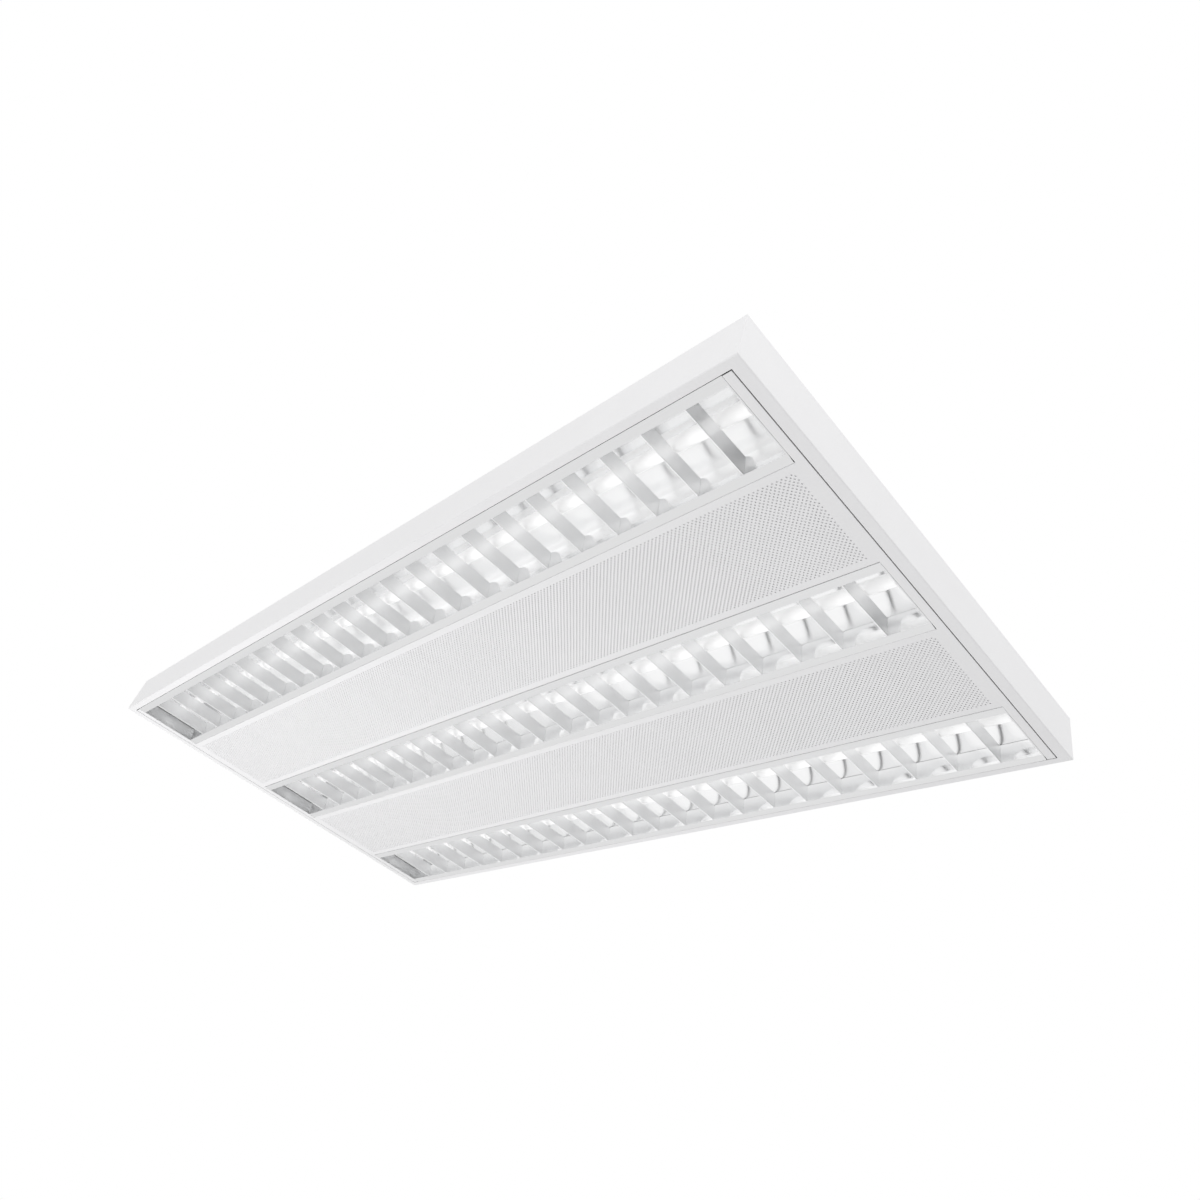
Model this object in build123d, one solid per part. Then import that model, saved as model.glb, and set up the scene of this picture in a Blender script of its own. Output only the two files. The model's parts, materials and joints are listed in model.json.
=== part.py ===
from build123d import *
import math
import os

# Surface-mounted ceiling light for three straight tubes, with three hinged louvres and two
# perforated panels. Millimetres. X runs along the tubes, Z is up, and the origin is the centre
# of the ceiling face. Front is the -Y side, left is the -X end.

# Tube
lamp_length = 1149.0  # between the faces of the two caps
tube_radius = 7.9
tube_wall = 0.8
tube_end_gap = 0.3
cap_length = 12.0
cap_wall = 0.4
cap_face = 1.5
cap_fit = 0.05
contact_length = 7.1
contact_radius = 1.18
contact_spacing = 4.75
contact_fit = 0.02

# Lampholder and its rotor
holder_gap = 0.6  # between the cap and the holder
holder_depth = 10.1
holder_wall = 3.1
holder_top_gap = 0.5
rotor_radius = 6.6
rotor_gap = 0.3
rotor_web = 0.6
slot_gap = 0.3
plug_width = 7.6
plug_height = 11.6
plug_reach = 1.5
plug_fit = 0.2

# Housing
steel_sheet = 1.0
side_lip = 9.5
end_lip = 12.5
top_flange = 12.0
inner_bend = 0.5
field_gap = 1.3  # shadow gap between neighbouring parts of the inner field
fixing_x = 450.0
fixing_y = 150.0
fixing_radius = 2.75

# End bulkheads and perforated panels
bulkhead_flange = 12.0
panel_width = 136.5
panel_upturn = 10.0
panel_tab_width = 60.0
panel_tab_overlap = 12.0

# Lamp reflector over each tube
reflector_sheet = 0.5
crown_gap = 8.6  # between tube and reflector crown
crown_half = 8.0
trough_bulge = 4.0
trough_step = 0.7  # trough mouth stands outside the louvre's reflectors by this
trough_joint = 0.5
trough_end_gap = 1.5
bracket_height = 7.0
bracket_length = 20.0
bracket_spacing = 420.0

# Louvre
lamp_end_room = 2.5  # the aperture is longer than the tube by this at each end
channel_width = 82.0
flange_width = 10.2
louvre_height = 20.0
lamp_clearance = 2.1  # between louvre and tube
louvre_sheet = 0.8
louvre_end_gap = 1.0
reflector_drop = 0.5  # reflector top below the louvre's full height
reflector_run = 5.0  # how far each side reflector leans in
reflector_bulge = 1.1
end_plate_drop = 1.0
shoulder_height = 8.0
shoulder_width = 7.0

# Cross blades
blade_pitch = 50.5
blade_lift = 0.3
blade_drop = 0.7
blade_top = 5.0
blade_tip = 1.0
blade_hollow = 0.3  # dish of each blade face
blade_sheet = 0.5
blade_root = 7.0  # solid fold at the bottom of the blade
blade_fit = 0.15
tab_width = 0.9
tab_height = 3.0
tab_rise = 1.0
tab_reach = 1.2
tab_fit = 0.1

# Pivot pins, catch studs and catch clips
pivot_radius = 1.25
pivot_fit = 0.05
pivot_clear = 0.55
pivot_inset = 4.5
pivot_tail = 1.5
pivot_reach = 1.5
pin_fit = 0.02
collar_clear = 0.2
collar_length = 1.0
catch_rise = 5.0
catch_length = 8.0
catch_gap = 0.3
catch_sheet = 0.6
catch_leg = 1.0
catch_web = 4.5
catch_web_sheet = 1.2
catch_clearance = 1.5

# Ballasts
ballast_length = 320.0
ballast_width = 30.0
ballast_height = 20.0
ballast_base_reach = 32.0
terminal_length = 20.0
terminal_width = 26.0
terminal_height = 12.0
screw_radius = 2.0
screw_fit = 0.05
screw_head_radius = 3.5
screw_head_height = 2.0
screw_short = 0.2  # screw ends stay below the ceiling face by this

# Mains supply
supply_offset = 44.0  # from the middle of the front bay, away from the centre
entry_x = -380.0
grommet_bore = 7.0
grommet_wall = 2.5
grommet_neck_fit = 0.1
grommet_flange = 3.0
grommet_flange_height = 2.0
grommet_sleeve = 9.0
block_x = -300.0
block_length = 36.0
block_width = 30.0
block_height = 17.0
clamp_count = 3
clamp_radius = 1.8
clamp_fit = 0.05
clamp_depth = 6.0
clamp_inset = 8.0
earth_x = -340.0
earth_radius = 2.0
earth_flange_radius = 5.0
earth_flange_height = 1.5
earth_length = 14.0

# Wires
wire_radius = 1.2
wire_gap = 0.4
wire_spread = 8.0
mains_spread = 10.5
wire_bend = 30.0
mains_bend = 12.0
mains_split = 5.0
mains_turn_front = 67.0
mains_turn_rear = 42.0
clip_x = 380.0
clip_length = 8.0
clip_wall = 2.0
clip_fit = 0.2

# Places along X
lamp_half = lamp_length / 2
aperture_half = lamp_half + lamp_end_room
holder_face = lamp_half + holder_gap
bulkhead_face = holder_face + holder_depth
field_half_length = bulkhead_face + steel_sheet
housing_half_length = field_half_length + field_gap + end_lip
louvre_half = aperture_half - louvre_end_gap
end_plate_face = louvre_half - louvre_sheet
trough_half = lamp_half - trough_end_gap

# Places along Y
channel_half = channel_width / 2
louvre_half_width = channel_half + flange_width
channel_pitch = 2 * louvre_half_width + 2 * field_gap + panel_width
channel_centres = [-channel_pitch, 0.0, channel_pitch]
field_half_width = channel_pitch + louvre_half_width
housing_half_width = field_half_width + field_gap + side_lip
bay_centre = channel_pitch / 2
supply_y = -(bay_centre + supply_offset)

# Places along Z
plate_under = -steel_sheet
flange_under = -2 * steel_sheet
crown_top = plate_under - bracket_height
crown_under = crown_top - reflector_sheet
lamp_z = crown_under - crown_gap - tube_radius
louvre_top = lamp_z - tube_radius - lamp_clearance
bottom_z = louvre_top - louvre_height
strip_top = bottom_z + steel_sheet
reflector_top = louvre_top - reflector_drop
pivot_rise = steel_sheet + pivot_clear + pivot_radius
pivot_z = bottom_z + pivot_rise
catch_z = bottom_z + catch_rise
mains_z = flange_under - wire_gap - wire_radius
lamp_wire_z = mains_z - 2 * wire_radius - wire_gap

# Sizes that follow
collar_radius = pivot_rise - louvre_sheet - collar_clear
cavity_radius = rotor_radius + rotor_gap
holder_radius = cavity_radius + holder_wall
rotor_front = holder_face + rotor_gap
rotor_back = lamp_half + contact_length + slot_gap + rotor_web
cavity_back = rotor_back + rotor_gap
contact_slot = 2 * (contact_radius + slot_gap)
blade_count = int(2 * aperture_half // blade_pitch)
grommet_hole = grommet_bore + grommet_wall


def block(x_low, x_high, y_low, y_high, z_low, z_high):
    """Box between two corners."""
    centre = Pos((x_low + x_high) / 2, (y_low + y_high) / 2, (z_low + z_high) / 2)
    return centre * Box(x_high - x_low, y_high - y_low, z_high - z_low)


def rod(x_low, x_high, y, z, radius):
    """Round bar along X."""
    return Pos((x_low + x_high) / 2, y, z) * Rot(0, 90, 0) * Cylinder(radius, x_high - x_low)


def post(x, y, z_low, z_high, radius):
    """Round bar along Z."""
    return Pos(x, y, (z_low + z_high) / 2) * Cylinder(radius, z_high - z_low)


def polygon(points):
    """Flat face inside a closed outline."""
    return make_face(Polyline(*points, close=True))


def along_x(face, x_low, x_high):
    """Bar along X, with its section drawn as (y, z)."""
    return extrude(Plane.YZ.offset(x_low) * face, amount=x_high - x_low)


def along_y(face, y_low, y_high):
    """Bar along Y, with its section drawn as (x, z)."""
    return extrude(Plane.XZ.offset(-y_high) * face, amount=y_high - y_low)


def along_z(face, z_low, z_high):
    """Bar along Z, with its section drawn as (x, y)."""
    return extrude(Plane.XY.offset(z_low) * face, amount=z_high - z_low)


def other_end(shape):
    """The same piece at the left end."""
    return mirror(shape, about=Plane.YZ)


def other_side(shape):
    """The same piece on the rear side."""
    return mirror(shape, about=Plane.XZ)


def round_corner(face, place, radius):
    """Rounds the corner of a section that lies nearest to a place."""
    corner = min(face.vertices(), key=lambda v: math.hypot(v.X - place[0], v.Y - place[1]))
    return fillet([corner], radius)


def save(name, *pieces):
    """Writes one node, as one or more separate solids."""
    solids = [solid for piece in pieces for solid in piece.solids()]
    export_step(Compound(solids), f"parts/{name}.step")


# Housing

def rail_section(outer, lip):
    """Bent section of a housing wall that stands at -outer: wall, return lip and top flange."""
    inner = -outer + steel_sheet
    points = [
        (-outer, 0),
        (-outer, bottom_z),
        (-outer + lip, bottom_z),
        (-outer + lip, strip_top),
        (inner, strip_top),
        (inner, flange_under),
        (-outer + top_flange, flange_under),
        (-outer + top_flange, plate_under),
        (inner, plate_under),
        (inner, 0),
    ]
    face = polygon(points)
    face = round_corner(face, (-outer, bottom_z), inner_bend + steel_sheet)
    return round_corner(face, (inner, strip_top), inner_bend)


def side_rail():
    """Front wall of the housing, mitred at both ends."""
    rail = along_x(rail_section(housing_half_width, side_lip), -housing_half_length, housing_half_length)
    reach = top_flange + end_lip
    x, y = housing_half_length, -housing_half_width
    mitre = along_z(polygon([(x, y), (x, y + reach), (x - reach, y + reach)]), bottom_z, 0)
    return rail - mitre - other_end(mitre)


def end_cap():
    """Left wall of the housing, mitred against the side rails, with its lip between theirs."""
    cap = along_y(rail_section(housing_half_length, end_lip), -housing_half_width, housing_half_width)
    reach = top_flange + end_lip
    x, y = -housing_half_length, -housing_half_width
    upper = polygon([(x, y), (x + reach, y), (x + reach, y + reach)])
    lower = polygon([(x, y), (x + reach, y), (x + reach, y + side_lip), (x + side_lip, y + side_lip)])
    level = (bottom_z + plate_under) / 2
    mitre = along_z(upper, level, 0) + along_z(lower, bottom_z, level)
    return cap - mitre - other_side(mitre)


def fixing_places():
    """Centres of the four ceiling screws."""
    return [(x, y) for x in (-fixing_x, fixing_x) for y in (-fixing_y, fixing_y)]


def ballast_screw_places():
    """Centres of the ballast screws."""
    reach = ballast_length / 2 + (ballast_base_reach + terminal_length) / 2
    return [(x, y) for x in (-reach, reach) for y in (-bay_centre, bay_centre)]


def back_plate():
    """Flat sheet against the ceiling, with holes for the ceiling screws, cable and ballast screws."""
    half_length = housing_half_length - steel_sheet
    half_width = housing_half_width - steel_sheet
    plate = block(-half_length, half_length, -half_width, half_width, plate_under, 0)
    holes = [post(x, y, plate_under, 0, fixing_radius) for x, y in fixing_places()]
    holes += [post(x, y, plate_under, 0, screw_radius + screw_fit) for x, y in ballast_screw_places()]
    holes.append(post(entry_x, supply_y, plate_under, 0, grommet_hole))
    return plate - holes


# Inner field

def end_bulkhead():
    """Right bulkhead: bottom strip, upright sheet with holder windows and pivot holes, top flange."""
    half_width = housing_half_width - top_flange - field_gap
    strip = block(aperture_half, field_half_length, -field_half_width, field_half_width, bottom_z, strip_top)
    sheet = block(bulkhead_face, field_half_length, -half_width, half_width, bottom_z, plate_under)
    flange_start = field_half_length - bulkhead_flange
    flange = block(flange_start, field_half_length, -half_width, half_width, flange_under, plate_under)
    cuts = []
    for centre in channel_centres:
        plug_half = plug_width / 2 + plug_fit
        plug_rise = plug_height / 2 + plug_fit
        window = block(
            bulkhead_face, field_half_length,
            centre - plug_half, centre + plug_half,
            lamp_z - plug_rise, lamp_z + plug_rise,
        )
        hole = rod(bulkhead_face, field_half_length, pivot_y(centre), pivot_z, pivot_radius + pivot_fit)
        cuts += [window, hole]
    return strip + sheet + flange - cuts


def perforated_panel(centre):
    """Shallow tray between two louvres, with a tab at each end that lies on the bulkhead's strip."""
    low, high = centre - panel_width / 2, centre + panel_width / 2
    edge = bottom_z + panel_upturn
    tray = block(-aperture_half, aperture_half, low, high, bottom_z, strip_top)
    tray += block(-aperture_half, aperture_half, low, low + steel_sheet, bottom_z, edge)
    tray += block(-aperture_half, aperture_half, high - steel_sheet, high, bottom_z, edge)
    tab_start = aperture_half - panel_tab_overlap
    tab_half = panel_tab_width / 2
    tab = block(
        tab_start, bulkhead_face, centre - tab_half, centre + tab_half, strip_top, strip_top + steel_sheet
    )
    return tray + tab + other_end(tab)


# Lamp reflectors

def lamp_reflector(centre):
    """Mirrored trough over one tube: flat crown and two dished sides."""
    mouth = channel_half - reflector_run + trough_step
    mouth_z = louvre_top + trough_joint
    run, rise = mouth - crown_half, crown_under - mouth_z
    chord = math.hypot(run, rise)
    bulge_y = (mouth + crown_half) / 2 + trough_bulge * rise / chord
    bulge_z = (mouth_z + crown_under) / 2 + trough_bulge * run / chord
    outline = [
        Line((-mouth, mouth_z), (mouth, mouth_z)),
        ThreePointArc((mouth, mouth_z), (bulge_y, bulge_z), (crown_half, crown_under)),
        Line((crown_half, crown_under), (-crown_half, crown_under)),
        ThreePointArc((-crown_half, crown_under), (-bulge_y, bulge_z), (-mouth, mouth_z)),
    ]
    inside = make_face(outline)
    outside = offset(inside, amount=reflector_sheet, kind=Kind.INTERSECTION)
    below = Pos(0, mouth_z - reflector_sheet) * Rectangle(4 * mouth, 2 * reflector_sheet)
    return along_x(Pos(centre, 0) * (outside - inside - below), -trough_half, trough_half)


def reflector_bracket(x, centre):
    """Bent bracket that holds the reflector's crown off the back plate."""
    half = crown_half
    start, end = x - bracket_length / 2, x + bracket_length / 2
    top = block(start, end, centre - half, centre + half, flange_under, plate_under)
    web = block(start, end, centre - half, centre - half + steel_sheet, crown_top, plate_under)
    foot = block(start, end, centre - half, centre + half, crown_top, crown_top + steel_sheet)
    return top + web + foot


# Lampholders and tubes

def lampholder(centre):
    """Right lampholder: upright body with a round cavity, a contact slot and a plug through the bulkhead."""
    top = flange_under - holder_top_gap
    body = rod(holder_face, bulkhead_face, centre, lamp_z, holder_radius)
    body += block(holder_face, bulkhead_face, centre - holder_radius, centre + holder_radius, lamp_z, top)
    cavity = rod(holder_face, cavity_back, centre, lamp_z, cavity_radius)
    slot_half = contact_slot / 2
    slot = block(
        holder_face, cavity_back, centre - slot_half, centre + slot_half, lamp_z - holder_radius, lamp_z
    )
    plug = block(
        bulkhead_face, field_half_length + plug_reach,
        centre - plug_width / 2, centre + plug_width / 2,
        lamp_z - plug_height / 2, lamp_z + plug_height / 2,
    )
    return body - cavity - slot + plug


def rotor(centre):
    """Right rotor: round disc with a slot that takes the two contact pins."""
    disc = rod(rotor_front, rotor_back, centre, lamp_z, rotor_radius)
    slot = block(
        rotor_front, rotor_back - rotor_web,
        centre - rotor_radius, centre + rotor_radius,
        lamp_z - contact_slot / 2, lamp_z + contact_slot / 2,
    )
    return disc - slot


def tube(centre):
    """Sealed glass tube."""
    half = lamp_half - cap_face - tube_end_gap
    glass = rod(-half, half, centre, lamp_z, tube_radius)
    return glass - rod(-half + cap_face, half - cap_face, centre, lamp_z, tube_radius - tube_wall)


def contact_places(centre):
    """Sideways places of the two contact pins of one cap."""
    return [centre - contact_spacing / 2, centre + contact_spacing / 2]


def lamp_cap(centre):
    """Right metal cap, a cup over the end of the tube."""
    inner = tube_radius + cap_fit
    cup = rod(lamp_half - cap_length, lamp_half, centre, lamp_z, inner + cap_wall)
    cup -= rod(lamp_half - cap_length, lamp_half - cap_face, centre, lamp_z, inner)
    holes = [
        rod(lamp_half - cap_face, lamp_half, y, lamp_z, contact_radius + contact_fit)
        for y in contact_places(centre)
    ]
    return cup - holes


def contacts(centre):
    """The two contact pins of the right cap."""
    start, end = lamp_half - cap_face, lamp_half + contact_length
    return [rod(start, end, y, lamp_z, contact_radius) for y in contact_places(centre)]


# Louvres

def pivot_y(centre):
    """Hinge axis of a louvre, over its front flange."""
    return centre - louvre_half_width + pivot_inset


def catch_y(centre):
    """Catch stud of a louvre, over its rear flange."""
    return centre + louvre_half_width - pivot_inset


def dish_circle(start, end, bulge):
    """Centre and radius of a dished face between two points of a section."""
    run, rise = end[0] - start[0], end[1] - start[1]
    chord = math.hypot(run, rise)
    radius = chord ** 2 / (8 * bulge) + bulge / 2
    reach = radius - bulge
    middle_z = (start[1] + end[1]) / 2
    return (start[0] + end[0]) / 2 + reach * rise / chord, middle_z - reach * run / chord, radius


def dish_place(circle, z, spare):
    """Sideways place of a dished face at a height, moved towards its centre by a spare distance."""
    centre, centre_z, radius = circle
    return centre - math.sqrt((radius - spare) ** 2 - (z - centre_z) ** 2)


def dish_arc(circle, low, high, spare):
    """Curve of a dished face between two heights, moved towards its centre by a spare distance."""
    return ThreePointArc(*[(dish_place(circle, z, spare), z) for z in (low, (low + high) / 2, high)])


def reflector_circle():
    """Dish of the front reflector's mirrored face, seen from the channel's middle."""
    start = (-channel_half, bottom_z)
    return dish_circle(start, (reflector_run - channel_half, reflector_top), reflector_bulge)


def side_reflector():
    """Front reflector of a louvre in the middle channel: flat flange and dished mirror, with tab slots."""
    flange_top = bottom_z + louvre_sheet
    circle = reflector_circle()
    face = dish_arc(circle, bottom_z, reflector_top, 0)
    back = dish_arc(circle, flange_top, reflector_top, -louvre_sheet)
    outline = [
        face,
        Line(face @ 1, back @ 1),
        back,
        Polyline(back @ 0, (-louvre_half_width, flange_top), (-louvre_half_width, bottom_z), face @ 0),
    ]
    sheet = along_x(make_face(outline), -end_plate_face, end_plate_face)
    half = tab_width / 2 + tab_fit
    slot_low = bottom_z + blade_lift + tab_rise - tab_fit
    slot_start = dish_place(circle, slot_low, -2 * louvre_sheet)
    slots = [
        block(x - half, x + half, -louvre_half_width, 0, slot_low, slot_low + tab_height + 2 * tab_fit)
        & block(x - half, x + half, slot_start, 0, flange_top, reflector_top)
        for x in blade_places()
    ]
    return sheet - slots


def blade_places():
    """Places of the cross blades along X."""
    start = -(blade_count - 1) / 2 * blade_pitch
    return [start + number * blade_pitch for number in range(blade_count)]


def blade_section(low, high, spare):
    """Section of a blade between two heights, with its dished faces moved in by a spare distance."""
    start = (blade_tip / 2, bottom_z + blade_lift)
    circle = dish_circle(start, (blade_top / 2, reflector_top - blade_drop), blade_hollow)
    right = dish_arc(circle, low, high, -spare)
    left = mirror(right, about=Plane.YZ)
    return make_face([right, Line(right @ 1, left @ 1), left, Line(left @ 0, right @ 0)])


def cross_blade():
    """One folded blade across the middle channel, dished on both faces, with a tab at each end."""
    low = bottom_z + blade_lift
    high = reflector_top - blade_drop
    fold = blade_section(low + blade_root, high, blade_sheet)
    bar = along_y(blade_section(low, high, 0) - fold, -channel_half, channel_half)
    circle = reflector_circle()
    front = dish_arc(circle, low, high, blade_fit)
    rear = mirror(front, about=Plane.YZ)
    room = make_face([front, Line(front @ 1, rear @ 1), rear, Line(rear @ 0, front @ 0)])
    blade = bar & along_x(room, -blade_top, blade_top)
    tab_low = low + tab_rise
    tab_end = dish_place(circle, tab_low, -louvre_sheet) - tab_reach
    tab_start = dish_place(circle, tab_low + tab_height, blade_fit) + blade_tip
    half = tab_width / 2
    tab = block(-half, half, tab_end, tab_start, tab_low, tab_low + tab_height)
    return blade + tab + other_side(tab)


def louvre_end_plate():
    """Right end plate of the middle louvre, with holes for the pivot pin and the catch stud."""
    top = reflector_top - end_plate_drop
    shoulder = bottom_z + shoulder_height
    neck = louvre_half_width - shoulder_width
    head = channel_half - reflector_run + 2 * louvre_sheet
    outline = [
        (-louvre_half_width, bottom_z),
        (louvre_half_width, bottom_z),
        (louvre_half_width, shoulder),
        (neck, shoulder),
        (head, top),
        (-head, top),
        (-neck, shoulder),
        (-louvre_half_width, shoulder),
    ]
    plate = along_x(polygon(outline), end_plate_face, louvre_half)
    holes = [
        rod(end_plate_face, louvre_half, pivot_y(0), pivot_z, pivot_radius + pin_fit),
        rod(end_plate_face, louvre_half, catch_y(0), catch_z, pivot_radius + pin_fit),
    ]
    return plate - holes


def pivot_pin():
    """Right pivot pin of the middle louvre, through its end plate and the bulkhead."""
    start = end_plate_face - collar_length - pivot_tail
    pin = rod(start, field_half_length + pivot_reach, pivot_y(0), pivot_z, pivot_radius)
    return pin + rod(end_plate_face - collar_length, end_plate_face, pivot_y(0), pivot_z, collar_radius)


def catch_stud():
    """Right catch stud of the middle louvre, pointing in from its end plate."""
    stud = rod(end_plate_face - catch_length, louvre_half, catch_y(0), catch_z, pivot_radius)
    return stud + rod(end_plate_face - collar_length, end_plate_face, catch_y(0), catch_z, collar_radius)


def catch_clip(centre):
    """Right spring clip: a fork over the catch stud, on an arm from the bulkhead."""
    y = catch_y(centre)
    start = end_plate_face - catch_length
    end = end_plate_face - collar_length - catch_gap
    inner = pivot_radius + catch_gap
    outer = inner + catch_sheet
    bridge = catch_z + inner
    fork = block(start, end, y - outer, y + outer, catch_z - pivot_radius - catch_leg, bridge + catch_sheet)
    fork -= block(start, end, y - inner, y + inner, catch_z - pivot_radius - catch_leg, bridge)
    arm_low = bottom_z + shoulder_height + catch_clearance
    arm_high = arm_low + catch_web
    arm = polygon([
        (start, bridge + catch_sheet),
        (end, bridge + catch_sheet),
        (end, arm_low),
        (bulkhead_face, arm_low),
        (bulkhead_face, arm_high),
        (start, arm_high),
    ])
    return fork + along_y(arm, y - catch_web_sheet / 2, y + catch_web_sheet / 2)


# Ballasts and mains supply

def ballast_case(centre):
    """Metal case on a base plate that takes the screws."""
    half = ballast_length / 2
    base_half = half + ballast_base_reach
    width = ballast_width / 2
    case = block(-half, half, centre - width, centre + width, flange_under - ballast_height, plate_under)
    base = block(-base_half, base_half, centre - width, centre + width, flange_under, plate_under)
    holes = [
        post(x, y, flange_under, plate_under, screw_radius + screw_fit)
        for x, y in ballast_screw_places() if y == centre
    ]
    return case + base - holes


def ballast_terminal(centre):
    """Right terminal strip of a ballast, against its case and base."""
    half = ballast_length / 2
    width = terminal_width / 2
    low = flange_under - terminal_height
    return block(half, half + terminal_length, centre - width, centre + width, low, flange_under)


def ballast_screw(x, y):
    """Round-headed screw through a ballast base into the back plate."""
    head = post(x, y, flange_under - screw_head_height, flange_under, screw_head_radius)
    return head + post(x, y, flange_under, -screw_short, screw_radius)


def cable_grommet():
    """Rubber bush in the back plate's cable hole."""
    flange_low = plate_under - grommet_flange_height
    sleeve_low = plate_under - grommet_sleeve
    ring = post(entry_x, supply_y, flange_low, plate_under, grommet_hole + grommet_flange)
    ring += post(entry_x, supply_y, sleeve_low, -screw_short, grommet_hole - grommet_neck_fit)
    return ring - post(entry_x, supply_y, sleeve_low, 0, grommet_bore)


def clamp_places():
    """Centres of the terminal block's clamp screws."""
    step = block_width / clamp_count
    rows = [supply_y + (number - (clamp_count - 1) / 2) * step for number in range(clamp_count)]
    reach = block_length / 2 - clamp_inset
    return [(block_x + side * reach, y) for side in (-1, 1) for y in rows]


def terminal_block():
    """Mains terminal block, with a screw hole over each clamp."""
    low = plate_under - block_height
    half = block_length / 2
    width = block_width / 2
    body = block(block_x - half, block_x + half, supply_y - width, supply_y + width, low, plate_under)
    holes = [post(x, y, low, low + clamp_depth, clamp_radius + clamp_fit) for x, y in clamp_places()]
    return body - holes


def clamp_screw(x, y):
    """Clamp screw, sunk in the terminal block."""
    low = plate_under - block_height
    return post(x, y, low + clamp_radius, low + clamp_depth, clamp_radius)


def earth_stud():
    """Threaded stud welded to the back plate."""
    stud = post(earth_x, supply_y, plate_under - earth_length, plate_under, earth_radius)
    return stud + post(earth_x, supply_y, plate_under - earth_flange_height, plate_under, earth_flange_radius)


# Wires

def wire(points, bend, z):
    """Round wire along straight runs with rounded turns, all at one height."""
    path = FilletPolyline(*[(x, y, z) for x, y in points], radius=bend)
    start = Plane(origin=path @ 0, z_dir=path % 0)
    return sweep(start * Circle(wire_radius), path=path)


def lamp_wire(start_y, end_y):
    """Right lamp wire, from a ballast terminal to the side of a lampholder."""
    start = ballast_length / 2 + terminal_length
    turn = holder_face + holder_depth / 2
    return wire([(start, start_y), (turn, start_y), (turn, end_y)], wire_bend, lamp_wire_z)


def mains_wire(start_y, turn, end_y):
    """Mains wire, from the terminal block to a ballast's left terminal."""
    start = block_x + block_length / 2
    end = -ballast_length / 2 - terminal_length
    points = [(start, start_y), (start + turn, start_y), (start + turn, end_y), (end, end_y)]
    return wire(points, mains_bend, mains_z)


def wire_clip(x, y):
    """Block under the back plate that a lamp wire runs through."""
    half = clip_length / 2
    width = wire_radius + clip_wall
    low = lamp_wire_z - wire_radius - clip_wall
    saddle = block(x - half, x + half, y - width, y + width, low, plate_under)
    return saddle - rod(x - half, x + half, y, lamp_wire_z, wire_radius + clip_fit)


os.makedirs("parts", exist_ok=True)

save("back_plate", back_plate())
front_rail = side_rail()
save("side_rail_front", front_rail)
save("side_rail_rear", other_side(front_rail))
left_cap = end_cap()
save("end_cap_left", left_cap)
save("end_cap_right", other_end(left_cap))
right_bulkhead = end_bulkhead()
save("end_bulkhead_right", right_bulkhead)
save("end_bulkhead_left", other_end(right_bulkhead))
save("perforated_panel_front", perforated_panel(-bay_centre))
save("perforated_panel_rear", perforated_panel(bay_centre))

bracket_places = [(x, y) for x in (-bracket_spacing, 0, bracket_spacing) for y in channel_centres]
save("reflector_brackets", *[reflector_bracket(x, y) for x, y in bracket_places])

front_reflector = side_reflector()
blade = cross_blade()
blades = [Pos(x, 0, 0) * blade for x in blade_places()]
end_plate = louvre_end_plate()
pins = [pivot_pin(), catch_stud()]
for number, centre in enumerate(channel_centres, start=1):
    place = Pos(0, centre, 0)
    save(f"lamp_reflector_{number}", lamp_reflector(centre))
    holder = lampholder(centre)
    save(f"lampholder_{number}_right", holder)
    save(f"lampholder_{number}_left", other_end(holder))
    save(f"lamp_{number}_tube", tube(centre))
    cap = lamp_cap(centre)
    save(f"lamp_{number}_caps", cap, other_end(cap))
    pair = contacts(centre)
    save(f"lamp_{number}_contacts", *pair, *[other_end(pin) for pin in pair])
    disc = rotor(centre)
    save(f"lamp_{number}_rotors", disc, other_end(disc))
    save(f"louvre_{number}_side_front", place * front_reflector)
    save(f"louvre_{number}_side_rear", place * other_side(front_reflector))
    save(f"louvre_{number}_blades", *[place * piece for piece in blades])
    save(f"louvre_{number}_end_plates", place * end_plate, place * other_end(end_plate))
    save(f"louvre_{number}_pins", *[place * pin for pin in pins + [other_end(pin) for pin in pins]])

clips = [catch_clip(centre) for centre in channel_centres]
save("catch_clips", *clips, *[other_end(clip) for clip in clips])

for side, centre in (("front", -bay_centre), ("rear", bay_centre)):
    save(f"ballast_{side}_case", ballast_case(centre))
    terminal = ballast_terminal(centre)
    save(f"ballast_{side}_terminals", terminal, other_end(terminal))
save("ballast_screws", *[ballast_screw(x, y) for x, y in ballast_screw_places()])

save("cable_grommet", cable_grommet())
save("terminal_block", terminal_block())
save("terminal_screws", *[clamp_screw(x, y) for x, y in clamp_places()])
save("earth_stud", earth_stud())

front_start, front_end = -bay_centre - wire_spread, -channel_pitch + holder_radius
middle_start, middle_end = -bay_centre + wire_spread, -holder_radius
rear_start, rear_end = bay_centre + wire_spread, channel_pitch - holder_radius
lamp_wires = [
    lamp_wire(front_start, front_end),
    lamp_wire(middle_start, middle_end),
    lamp_wire(rear_start, rear_end),
]
save("lamp_wires", *lamp_wires, *[other_end(lead) for lead in lamp_wires])
front_supply = mains_wire(supply_y - mains_split, mains_turn_front, -bay_centre - mains_spread)
rear_supply = mains_wire(supply_y + mains_split, mains_turn_rear, bay_centre - mains_spread)
save("mains_wires", front_supply, rear_supply)
saddles = [wire_clip(clip_x, y) for y in (front_start, middle_start, rear_start)]
save("wire_clips", *saddles, *[other_end(saddle) for saddle in saddles])
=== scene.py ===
"""Looks of a surface-mounted ceiling light for three straight tubes.

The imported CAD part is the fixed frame. This script dresses its nodes, and replaces the sheets
whose curves or holes show: perforated panels, mirrored reflectors, cross blades and tubes.
Sizes are in millimetres, in the frame of the CAD part, unless a name says otherwise.
"""
import json
import logging
import math
from contextlib import contextmanager
from dataclasses import dataclass
from enum import Enum
from typing import Any, Callable, Iterator, Sequence

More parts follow.
